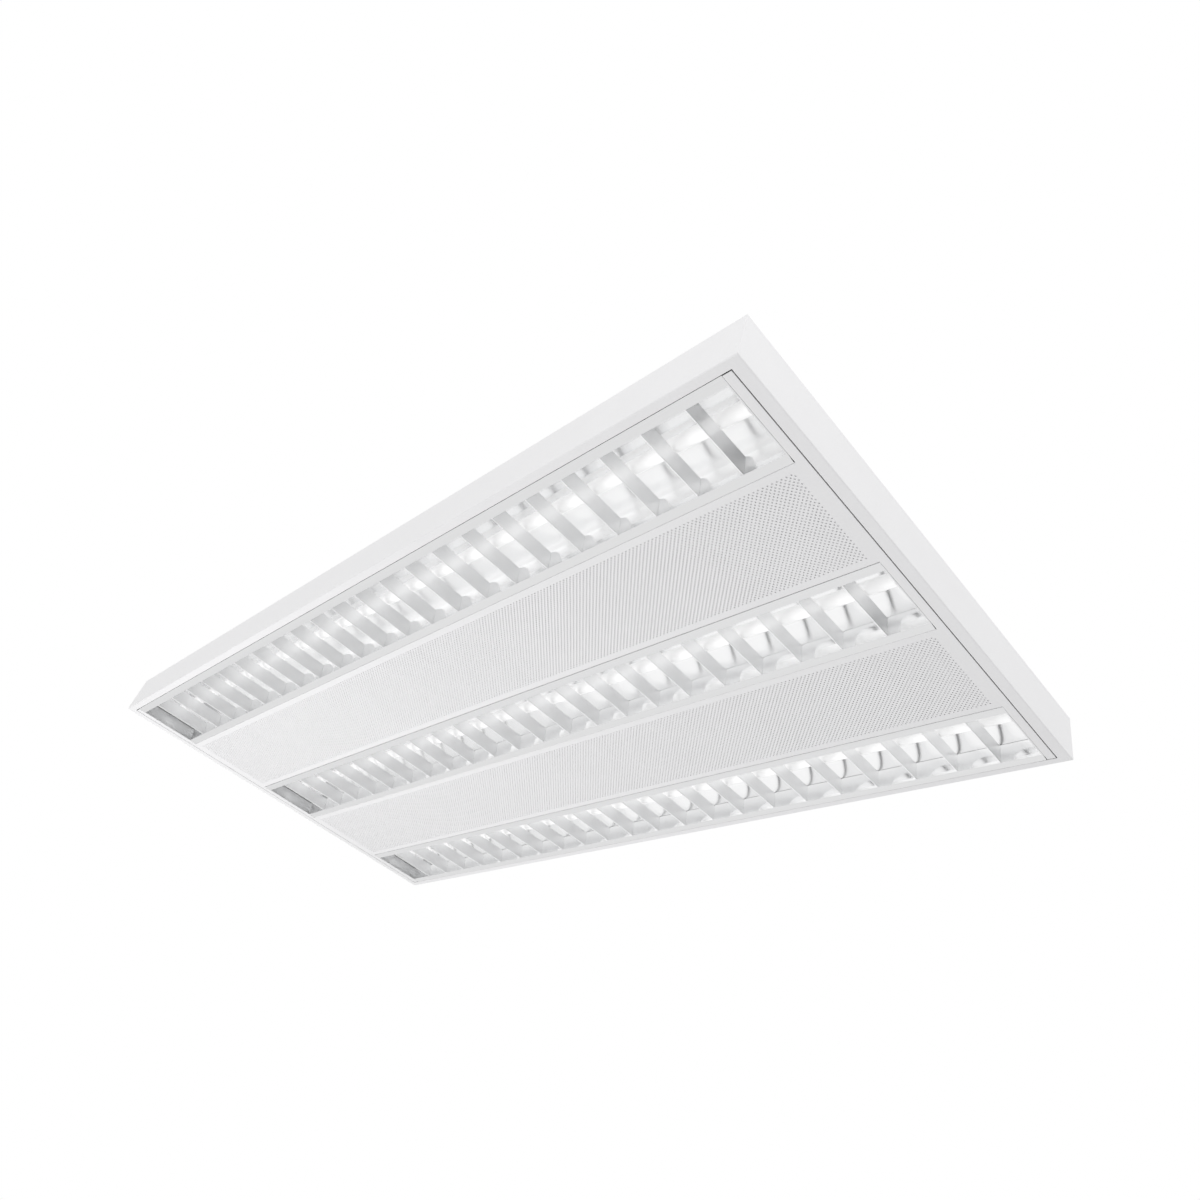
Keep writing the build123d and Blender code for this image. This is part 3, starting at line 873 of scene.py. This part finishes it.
@dataclass
class LampReflectors:
    """The three mirrored troughs over the tubes."""

    layout: Layout
    half_length: float = 573.0  # half the length of a trough
    crown_half: float = 8.0  # half the width of the flat crown
    crown_height: float = -8.5  # height of the crown's lower face
    mouth: Pair = (36.7, -34.5)  # half the width at the mouth, and its height
    bulge: float = 4.0  # how far the sides are dished
    wall: float = 0.5  # sheet thickness
    slot: float = 9.4  # half the width of the slots for the tube in the end flaps
    steps: int = 28  # facets of each dished side

    def cutter(self) -> Piece:
        """Models the tool that cuts the slots: a round bar, drawn down past the mouth.

        Returns:
            The tool, in the middle channel.
        """
        height, reach = self.layout.lamp_height, 1.5 * self.half_length
        cutter = start_bar("cutter", self.slot, -reach, reach, height)
        with editing(cutter):
            pick(cutter, Element.CORNER, lambda p: p.z < height - NEAR)
            shift((0.0, 0.0, self.mouth[1] - height))
        return cutter

    def trough(self) -> Piece:
        """Models the trough of the middle channel, with a flap at each end.

        Returns:
            The trough.
        """
        reach, half, up = self.half_length - self.wall, self.crown_half, self.crown_height
        dish = Dish((half, up), self.mouth, self.bulge)
        across, centre_up, _ = dish.circle()
        trough = start_between(SHEET, "trough", (-reach, -half, up), (reach, half, up))
        with editing(trough):
            for sign in SIGNS:
                pick(trough, Element.EDGE, lambda p: near(p.y, sign * half) and near(p.z, up))
                spin(self.steps, sign * dish.sweep(), (0.0, sign * across, centre_up), ALONG)
            for end in End:
                pick(trough, Element.EDGE, lambda p: near(p.x, end.value * reach))
                bpy.ops.mesh.edge_face_add()
        face_towards(trough, DOWN)
        thicken(trough, self.wall)
        cutter = self.cutter()
        finish_with(trough, "BOOLEAN", object=cutter, operation="DIFFERENCE", solver="EXACT")
        discard(cutter)
        smooth(trough)
        return trough

    def build(self) -> None:
        """Models one trough, copies it over each tube and dresses it."""
        trough = self.trough()
        for number, move in self.layout.channels():
            hand_over(
                trough, f"lamp_trough_{number}", move, "housing",
                "mirror_aluminium", "trough_aluminium", f"lamp_reflector_{number}",
            )
        discard(trough)


@dataclass
class Lamps:
    """The three tubes with their caps."""

    layout: Layout
    half_length: float = 574.5  # half the length between the outer faces of the caps
    radius: float = 7.9  # radius of the glass
    glass_inset: float = 1.8  # how far the glass ends behind a cap's face
    glass_bend: float = 0.6  # rounding at the ends of the glass
    cap_length: float = 12.0
    cap_radius: float = 8.35
    cap_bend: float = 0.5  # rounding of a cap's rim
    crimp_depth: float = 0.3  # depth of the ring pressed into a cap
    rim_share: float = 0.95  # share of a radius from which an edge belongs to the rim

    def at_rim(self, place: Vector, radius: float) -> bool:
        """True at the rim of an end face of a bar on the middle tube's axis."""
        off_axis = math.hypot(place.y, place.z - self.layout.lamp_height)
        return off_axis > radius * self.rim_share

    def glass(self) -> Piece:
        """Models the glass tube with rounded ends.

        Returns:
            The glass of the middle channel.
        """
        end, radius = self.half_length - self.glass_inset, self.radius
        glass = start_bar("glass", radius, -end, end, self.layout.lamp_height)
        with editing(glass):
            pick(glass, Element.FACE, lambda p: near(abs(p.x), end))
            bpy.ops.mesh.inset(thickness=radius / 4 * MM)
            pick(glass, Element.EDGE, lambda p: near(abs(p.x), end) and self.at_rim(p, radius))
            round_off(self.glass_bend, 3)
        smooth(glass)
        return glass

    def cap(self) -> Piece:
        """Models the right cap: a rounded cup with a pressed ring and a raised centre.

        Returns:
            The right cap of the middle channel.
        """
        low, high, radius = self.half_length - self.cap_length, self.half_length, self.cap_radius
        cap = start_bar("cap", radius, low, high, self.layout.lamp_height)
        crimp = self.cap_length / 4
        ring = low + 1.5 * crimp
        squeeze = 1 - self.crimp_depth / radius
        with editing(cap):
            for place in (low + crimp, ring, low + 2.0 * crimp):
                cut(ALONG, place)
            pick(cap, Element.CORNER, lambda p: near(p.x, ring))
            stretch((1.0, squeeze, squeeze), (0.0, 0.0, self.layout.lamp_height))
            pick(cap, Element.FACE, lambda p: near(p.x, high))
            bpy.ops.mesh.inset(thickness=radius / 6 * MM)
            push_faces((-self.crimp_depth, 0.0, 0.0))
            pick(cap, Element.EDGE, lambda p: near(p.x, high) and self.at_rim(p, radius))
            round_off(self.cap_bend, 3)
        smooth(cap)
        return cap

    def build(self) -> None:
        """Models one tube, copies it into each channel and dresses it."""
        glass, cap = self.glass(), self.cap()
        caps = {End.RIGHT: cap, End.LEFT: turned_over(cap, "other_cap", ALONG)}
        metal = "cap_aluminium"
        for number, move in self.layout.channels():
            lamp = f"lamp_{number}"
            hand_over(
                glass, f"{lamp}_glass", move, lamp, "tube_glass", "tube_glass", f"{lamp}_tube"
            )
            for end, pattern in caps.items():
                name = f"{lamp}_cap_{label_of(end)}"
                hand_over(pattern, name, move, lamp, metal, metal, f"{lamp}_caps")
        discard(glass, *caps.values())


@dataclass
class Louvres:
    """The three hinged louvres: flat frame, side reflectors, end plates and cross blades."""

    layout: Layout
    frame_front: float = 51.9  # half the width of the frame at the hinge side
    frame_rear: float = 52.2  # half its width at the side that swings
    frame_half: float = 576.7  # half its length at the channel's mouth
    frame_corner: float = 575.9  # half its length at the rear corners
    frame_rim: float = 1.2  # thickness of its upturned long edges
    frame_top: float = -50.5  # height of these edges
    frame_bends: Pair = (0.5, 0.4)  # outer radius at the foot of the front and of the rear edge
    half_length: float = 575.2  # half the length of the side reflectors
    plate: float = 0.8  # thickness of the end plates
    plate_half: float = 50.0  # half the width of an end plate below its shoulders
    plate_bend: float = 0.15  # rounding of its inner edges
    shoulder: Pair = (-47.0, 44.2)  # height of the shoulders, half the width of the neck above
    shoulder_rise: float = 0.4  # height from shoulders to neck
    head: Pair = (37.6, -36.5)  # half the width of an end plate's upper edge, and its height
    top: float = -35.5  # height of the reflectors' upper edges
    run: float = 5.0  # how far a reflector leans in
    bulge: float = 1.1  # how far a reflector is dished
    wall: float = 0.8  # sheet thickness of the reflectors
    pitch: float = 50.5  # distance between blades
    count: int = 22  # number of blades
    blade_low: float = -54.7  # height of a blade's lower edge
    blade_high: float = -36.2  # height of its upper edges
    blade_tip: float = 1.0  # width of its lower edge
    blade_top: float = 5.0  # width across its upper edges
    blade_lip: float = 1.3  # width of the lips that its upper edges are folded into
    blade_bulge: float = 0.3  # how far its faces are dished
    blade_bend: float = 0.25  # rounding of its lower edge
    blade_wall: float = 0.5  # its sheet thickness
    blade_fit: float = 0.06  # gap between a blade's end and the reflector
    tab: Triple = (0.9, -53.7, -50.7)  # width, lower and upper height of the tabs at its ends
    tab_root: float = 1.0  # how far a tab lies inside the blade
    tab_reach: float = 1.2  # how far it stands out behind the reflector
    tab_bend: float = 0.12  # rounding of its edges
    slot_spare: Pair = (0.25, 0.3)  # how much wider and higher than the tab its slot is all round
    steps: int = 24  # facets of each reflector
    blade_steps: int = 10  # facets of each blade face

    def dish(self) -> Dish:
        """Section of the front reflector's mirrored face."""
        mouth = self.layout.channel_half
        return Dish((-mouth, self.layout.bottom), (self.run - mouth, self.top), self.bulge)

    def first_blade(self) -> float:
        """Place of the leftmost blade."""
        return -(self.count - 1) / 2 * self.pitch

    def flat_frame(self) -> Piece:
        """Models the flat frame with its upturned long edges.

        Returns:
            The frame of the middle louvre.
        """
        bottom, mouth = self.layout.bottom, self.layout.channel_half
        front, rear, reach = -self.frame_front, self.frame_rear, self.frame_half
        inside, upper = self.half_length, bottom + self.wall
        sheet = start_between(SHEET, "frame", (-reach, front, bottom), (reach, rear, bottom))
        with editing(sheet):
            for sign in SIGNS:
                cut(ALONG, sign * inside)
                cut(ACROSS, sign * mouth)
            pick(sheet, Element.FACE, lambda p: abs(p.x) < inside and abs(p.y) < mouth)
            bpy.ops.mesh.delete(type="FACE")
            for sign in SIGNS:
                pick(sheet, Element.CORNER, lambda p: near(p.x, sign * reach) and near(p.y, rear))
                shift((sign * (self.frame_corner - reach), 0.0, 0.0))
        face_towards(sheet, DOWN)
        thicken(sheet, self.wall)
        low, high = front + self.frame_rim, rear - self.frame_rim
        with editing(sheet):
            cut(ACROSS, low)
            cut(ACROSS, high)
            pick(sheet, Element.FACE, lambda p: near(p.z, upper) and not low < p.y < high)
            push_faces((0.0, 0.0, self.frame_top - upper))
            for place, bend in zip((front, rear), self.frame_bends):
                pick(sheet, Element.EDGE, lambda p: near(p.z, bottom) and near(p.y, place))
                round_off(bend, 4)
        smooth(sheet)
        return sheet

    def end_plate(self) -> Piece:
        """Models the right end plate with its shoulders.

        Returns:
            The plate of the middle louvre.
        """
        low, (step, neck), (head, high) = self.layout.bottom + self.wall, self.shoulder, self.head
        inner, wide, collar = self.half_length, self.plate_half, step + self.shoulder_rise
        corners = (inner, -wide, low), (inner + self.plate, wide, high)
        plate = start_between(BLOCK, "end_plate", *corners)
        with editing(plate):
            cut(UP, step)
            cut(UP, collar)
            for height, half in ((collar, neck), (high, head)):
                pick(plate, Element.CORNER, lambda p: near(p.z, height))
                stretch((1.0, half / wide, 1.0), (0.0, 0.0, height))
            pick(plate, Element.EDGE, lambda p: near(p.x, inner) and p.z > low + NEAR)
            round_off(self.plate_bend, 2)
        smooth(plate)
        return plate

    def side(self) -> Piece:
        """Models the front reflector with the slots for the tabs.

        Returns:
            The reflector of the middle louvre.
        """
        bottom, mouth, half = self.layout.bottom, self.layout.channel_half, self.pitch / 2
        first, dish = self.first_blade(), self.dish()
        across, up, _ = dish.circle()
        width, tab_low, tab_high = self.tab
        slot_half = width / 2 + self.slot_spare[0]
        slot_low, slot_high = tab_low - self.slot_spare[1], tab_high + self.slot_spare[1]
        low, high = (first - half, -mouth - self.wall, bottom), (first + half, -mouth, bottom)
        side = start_between(SHEET, "side", low, high)
        with editing(side):
            for sign in SIGNS:
                cut(ALONG, first + sign * slot_half)
            pick(side, Element.EDGE, lambda p: near(p.y, -mouth))
            spin(self.steps, dish.sweep(), (0.0, across, up), ALONG)
            pick(
                side, Element.FACE, lambda p: near(p.z, bottom)
                or abs(p.x - first) < slot_half and slot_low < p.z < slot_high,
            )
            bpy.ops.mesh.delete(type="FACE")
        repeat(side, self.count, (self.pitch, 0.0, 0.0))
        with editing(side):
            for sign in SIGNS:
                outer = sign * self.count * half
                pick(side, Element.CORNER, lambda p: near(p.x, outer))
                shift((sign * self.half_length - outer, 0.0, 0.0))
        face_towards(side, (0.0, 0.5, -1.0))
        thicken(side, self.wall)
        smooth(side)
        return side

    def blade(self) -> Piece:
        """Models the leftmost blade: a folded sheet with dished faces and a tab at each end.

        Returns:
            The blade of the middle louvre.
        """
        tip, low, high = self.blade_tip / 2, self.blade_low, self.blade_high
        reach = -self.dish().place(low, self.blade_fit)
        face = Dish((tip, low), (self.blade_top / 2, high), self.blade_bulge)
        across, up, _ = face.circle()
        blade = start_between(SHEET, "blade", (-tip, -reach, low), (tip, reach, low))
        with editing(blade):
            for sign in SIGNS:
                pick(blade, Element.EDGE, lambda p: near(p.x, sign * tip) and near(p.z, low))
                spin(self.blade_steps, -sign * face.sweep(), (sign * across, 0.0, up), ACROSS)
            self.trim(blade, reach)
            for sign in SIGNS:
                pick(blade, Element.EDGE, lambda p: near(p.z, high) and sign * p.x > 0.0)
                push_edges((-sign * self.blade_lip, 0.0, 0.0))
        face_towards(blade, DOWN)
        thicken(blade, self.blade_wall)
        with editing(blade):
            pick(blade, Element.EDGE, lambda p: near(p.z, low) and near(abs(p.x), tip))
            round_off(self.blade_bend, 2)
        smooth(blade, 40.0)
        join(blade, *[self.tab_piece(sign) for sign in SIGNS])
        with editing(blade):
            pick_all()
            shift((self.first_blade(), 0.0, 0.0))
        return blade

    def trim(self, blade: Piece, reach: float) -> None:
        """Scales each level of a blade in edit mode to the room between the two reflectors.

        Args:
            blade: The blade.
            reach: Half its length so far.
        """
        corners = bmesh.from_edit_mesh(blade.data).verts
        for level in sorted({round(corner.co.z / MM, 3) for corner in corners}):
            room = -self.dish().place(level, self.blade_fit)
            pick(blade, Element.CORNER, lambda p: abs(p.z - level) < MERGE)
            stretch((1.0, room / reach, 1.0), (0.0, 0.0, level))

    def tab_piece(self, sign: int) -> Piece:
        """Models the tab at one end of a blade.

        Args:
            sign: -1 for the front end, 1 for the rear end.

        Returns:
            The tab, on a blade at the origin.
        """
        width, low, high = self.tab
        outer = -self.dish().place(low, -self.wall) + self.tab_reach
        inner = -self.dish().place(high, self.blade_fit) - self.tab_root
        front, rear = sorted((sign * inner, sign * outer))
        tab = start_between(BLOCK, "tab", (-width / 2, front, low), (width / 2, rear, high))
        with editing(tab):
            pick_all()
            round_off(self.tab_bend, 1)
        return tab

    def build(self) -> None:
        """Models one louvre, copies it into each channel and dresses it."""
        flat, blades, plate, front = self.flat_frame(), self.blade(), self.end_plate(), self.side()
        repeat(blades, self.count, (self.pitch, 0.0, 0.0))
        plates = {End.RIGHT: plate, End.LEFT: turned_over(plate, "other_plate", ALONG)}
        sides = {Side.FRONT: front, Side.REAR: turned_over(front, "rear", ACROSS)}
        mirror, metal = "mirror_aluminium", "blade_aluminium"
        for number, move in self.layout.channels():
            louvre = f"louvre_{number}"
            nodes = {side: f"{louvre}_side_{label_of(side)}" for side in Side}
            ends = f"{louvre}_end_plates"
            for side, pattern in sides.items():
                name = f"{louvre}_reflector_{label_of(side)}"
                hand_over(pattern, name, move, louvre, mirror, mirror, nodes[side])
            hand_over(
                flat, f"{louvre}_frame", move, louvre,
                metal, "frame_aluminium", *nodes.values(), ends,
            )
            for end, pattern in plates.items():
                name = f"{louvre}_end_plate_{label_of(end)}"
                # The end plates get the darker finish: painted shade.
                hand_over(pattern, name, move, louvre, metal, "end_plate_aluminium", ends)
            name = f"{louvre}_cross_blades"
            hand_over(blades, name, move, louvre, metal, metal, f"{louvre}_blades")
        discard(flat, blades, *plates.values(), *sides.values())


@dataclass
class Carcass:
    """The CAD nodes that keep their own shape: housing, control gear and small parts."""

    def dress(self) -> None:
        """Gives every node the finish of its slot."""
        for row in frame["record"]["subparts"]:
            node = frame["nodes"][row["node"]]
            finish = FINISHES[row["material_slot"]]
            node.data.materials.clear()
            node.data.materials.append(finish.material())
            LOG.info("%s: %s", row["node"], finish.name)


@dataclass
class Studio:
    """Camera, light, floor and background."""

    camera_place: Triple = (928.9, -591.3, -682.0)
    camera_forward: Triple = (-0.63282469, 0.45430371, 0.62700961)  # where it looks
    camera_up: Triple = (0.3036165, -0.59933564, 0.74068469)  # its upward direction
    picture_width: float = 36.0
    lens: float = 28.25  # focal length for that width
    clip: Pair = (10.0, 100000.0)  # nearest and farthest that it sees
    floor_width: float = 300000.0
    floor_height: float = -2400.0
    floor_grey: float = 0.63
    sky: float = 1.05  # strength of the light from all round
    lamps: tuple[tuple[Triple, Triple, float, float], ...] = (  # place, aim, width and watts
        ((-510.0, -250.0, -1235.0), (155.0, -600.0, 0.0), 700.0, 6.8),
        ((1300.0, -900.0, 50.0), (600.0, -300.0, 0.0), 600.0, 1.6),
    )

    def camera(self) -> None:
        """Sets up the camera at the photograph's viewing angle."""
        data = bpy.data.cameras.new("camera")
        data.sensor_width, data.lens = self.picture_width, self.lens
        data.clip_start, data.clip_end = metres(self.clip)
        camera = bpy.data.objects.new("camera", data)
        bpy.context.scene.collection.objects.link(camera)
        forward = Vector(self.camera_forward).normalized()
        right = forward.cross(Vector(self.camera_up)).normalized()
        up = right.cross(forward)
        turn = Matrix((right, up, -forward)).transposed().to_4x4()
        camera.matrix_world = Matrix.Translation(Vector(metres(self.camera_place))) @ turn
        bpy.context.scene.camera = camera

    def world(self) -> None:
        """Sets up a white background and an even light from all round."""
        world = bpy.data.worlds.new("world")
        bpy.context.scene.world = world
        world.use_nodes = True
        wiring = Wiring(world.node_tree)
        output = wiring.add("ShaderNodeOutputWorld")
        light, white = (
            wiring.add("ShaderNodeBackground", Color=PLAIN_WHITE, Strength=strength).outputs[0]
            for strength in (self.sky, 1.0)
        )
        wiring.swap_shader(output, light, white, "Camera", "Transmission", "Glossy")

    def floor(self) -> None:
        """Lays a plain pale floor well below the fixture."""
        floor = start_piece(
            "floor", SHEET, (self.floor_width, self.floor_width, 1.0),
            (0.0, 0.0, self.floor_height), size=1.0,
        )
        grey = (self.floor_grey, self.floor_grey, self.floor_grey)
        finish = Finish("floor_paint", grey, 0.01, (0.6, 0.7), grain=4.0, depth=0.01, patch=300.0)
        material = finish.material()
        floor.data.materials.append(material)
        wiring = Wiring(material.node_tree, empty=False)
        output = wiring.find("ShaderNodeOutputMaterial")
        plain = wiring.find("ShaderNodeBsdfPrincipled").outputs[0]
        white = wiring.add("ShaderNodeEmission", Color=PLAIN_WHITE, Strength=1.0).outputs[0]
        wiring.swap_shader(output, plain, white, "Glossy", "Transmission")

    def soft_lamps(self) -> None:
        """Hangs up the soft lamps."""
        for number, (place, aim, width, watts) in enumerate(self.lamps, 1):
            data = bpy.data.lights.new(f"soft_lamp_{number}", "AREA")
            data.shape, data.size, data.energy = "DISK", width * MM, watts
            lamp = bpy.data.objects.new(data.name, data)
            bpy.context.scene.collection.objects.link(lamp)
            lamp.location = metres(place)
            way = Vector(aim) - Vector(place)
            lamp.rotation_euler = way.to_track_quat("-Z", "Y").to_euler()
            lamp.visible_camera = False
            lamp.visible_glossy = False

    def build(self) -> None:
        """Sets up the whole studio."""
        bpy.context.scene.view_settings.view_transform = "Standard"
        self.camera()
        self.world()
        self.floor()
        self.soft_lamps()


def main() -> None:
    """Builds the studio and all sub-assemblies in order."""
    logging.basicConfig(level=logging.INFO, format="%(name)s: %(message)s")
    layout = Layout()
    Studio().build()
    Carcass().dress()
    PerforatedPanels(layout).build()
    LampReflectors(layout).build()
    Lamps(layout).build()
    Louvres(layout).build()


if __name__ == "__main__":
    main()
